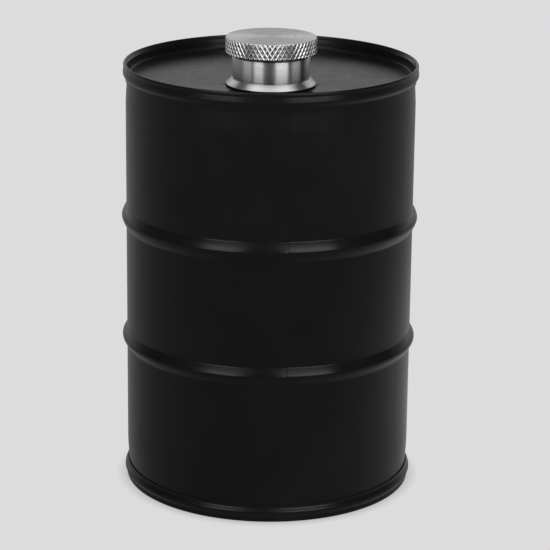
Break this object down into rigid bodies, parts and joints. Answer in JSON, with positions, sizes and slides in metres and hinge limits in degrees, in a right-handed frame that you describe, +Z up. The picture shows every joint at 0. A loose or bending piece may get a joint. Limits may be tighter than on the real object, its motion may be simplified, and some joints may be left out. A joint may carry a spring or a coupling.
{
  "type": "steel oil drum",
  "caption": "Small black steel drum flask with rolling hoops, double-seamed chimes and a knurled steel screw cap on an off-centre neck.",
  "frame": {"origin": "centre of the ring that the drum stands on, on the drum's own axis", "axes": "+Z up along the drum's axis; the neck is off-centre towards -Y; +X is to the right when seen from the neck's side"},
  "size_m": [0.092, 0.092, 0.144],
  "materials": {
    "black_enamel": "semi-matte black powder coat with a fine texture",
    "bare_steel": "turned and finely brushed stainless steel",
    "black_rubber": "matte black moulded rubber",
    "plug_plastic": "moulded black plastic",
    "seam_compound": "dried grey sealing compound"
  },
  "bodies": {
    "drum": {"side_wall": "black_enamel", "top_head": "black_enamel", "bottom_head": "black_enamel", "top_seam_compound": "seam_compound", "bottom_seam_compound": "seam_compound", "neck_collar": "bare_steel", "neck_gasket": "black_rubber", "neck_washer": "black_rubber", "neck_nut": "bare_steel"},
    "seal": {"cap_seal": "black_rubber"},
    "cap": {"cap_head": "bare_steel", "cap_plug": "plug_plastic"}
  },
  "joints": [
    {"name": "cap_lift", "type": "slide", "parent": "drum", "child": "seal", "axis": [0, 0, 1], "range_m": [0, 0.009]},
    {"name": "cap_turn", "type": "hinge", "parent": "seal", "child": "cap", "pos_m": [0, -0.01335, 0.1392], "axis": [0, 0, 1], "range_deg": [0, 1620]}
  ],
  "couplings": [
    {"joint": "cap_lift", "follows": "cap_turn", "m_per_rad": 0.00031831}
  ]
}
